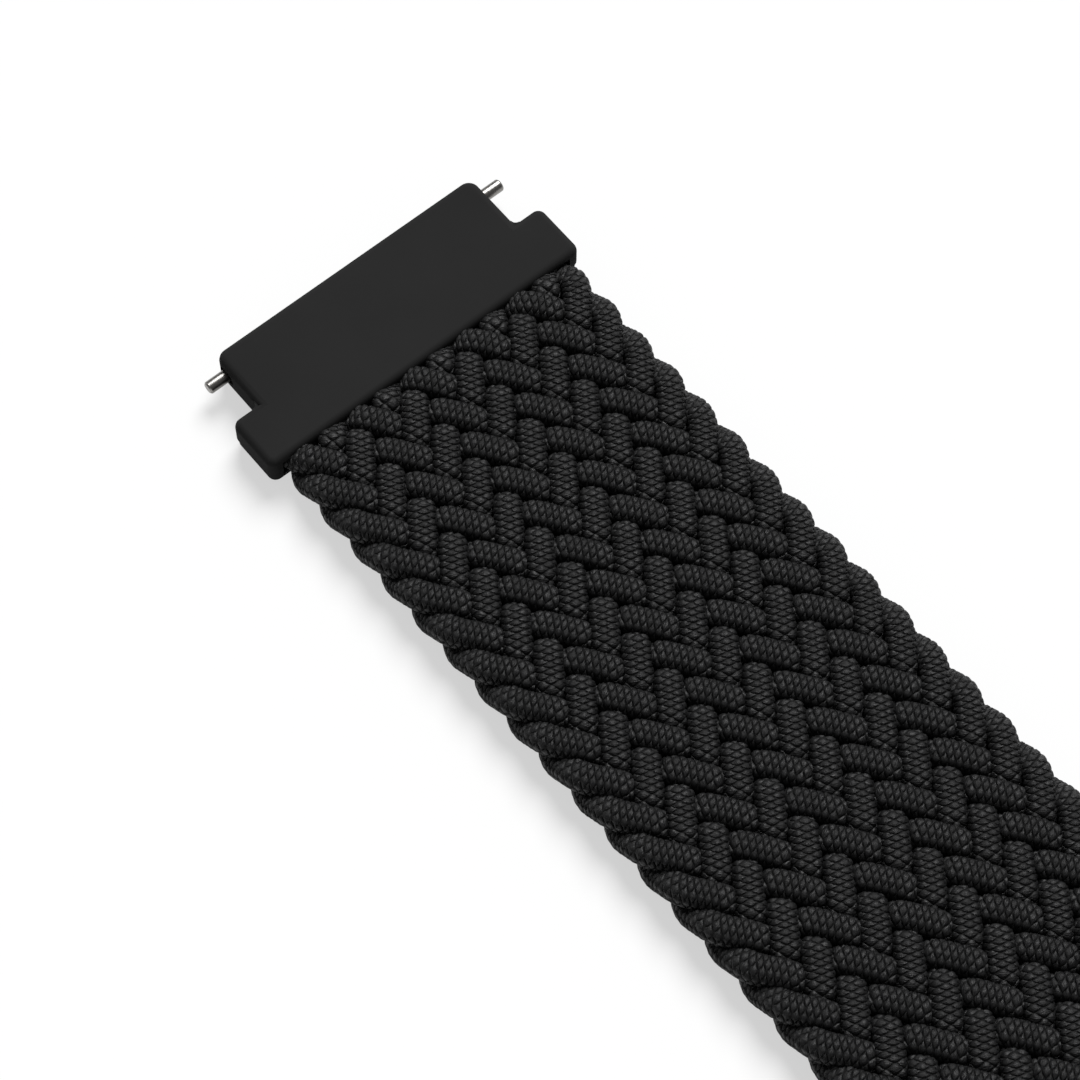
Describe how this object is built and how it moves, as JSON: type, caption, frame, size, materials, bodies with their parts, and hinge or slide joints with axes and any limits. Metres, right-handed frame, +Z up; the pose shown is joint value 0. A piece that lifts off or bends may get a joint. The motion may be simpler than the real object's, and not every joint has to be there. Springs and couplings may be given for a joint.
{
  "type": "watch strap",
  "caption": "Flat braided stretch watch strap of elastic cords, with a moulded quick-release connector and a sprung bar at each end.",
  "frame": {"origin": "on the floor under the middle of the strap, which lies flat and straight", "axes": "+X along the strap from the pictured connector (a) to the far one (b), +Y across the strap, +Z up out of its outer face"},
  "size_m": [0.1376, 0.026, 0.0033],
  "materials": {
    "connector_plastic": "soft matte, fine moulded texture",
    "braid_cord": "braided sheath with a soft sheen",
    "pin_steel": "polished",
    "spring_steel": "drawn wire"
  },
  "bodies": {
    "strap": {"braided_band": "braid_cord", "upper_shell_a": "connector_plastic", "lower_cover_a": "connector_plastic", "braid_end_a": "braid_cord", "bar_tube_a": "pin_steel", "fixed_tip_a": "pin_steel", "return_spring_a": "spring_steel", "upper_shell_b": "connector_plastic", "lower_cover_b": "connector_plastic", "braid_end_b": "braid_cord", "bar_tube_b": "pin_steel", "fixed_tip_b": "pin_steel", "return_spring_b": "spring_steel"},
    "pin_a": {"sliding_tip_a": "pin_steel", "release_lever_a": "pin_steel"},
    "pin_b": {"sliding_tip_b": "pin_steel", "release_lever_b": "pin_steel"}
  },
  "joints": [
    {"name": "pin_a_retract", "type": "slide", "parent": "strap", "child": "pin_a", "axis": [0, -1, 0], "range_m": [0, 0.0017], "stiffness_N_per_m": 600, "springref_m": -0.0015, "deforming": ["return_spring_a"]},
    {"name": "pin_b_retract", "type": "slide", "parent": "strap", "child": "pin_b", "axis": [0, 1, 0], "range_m": [0, 0.0017], "stiffness_N_per_m": 600, "springref_m": -0.0015, "deforming": ["return_spring_b"]}
  ]
}
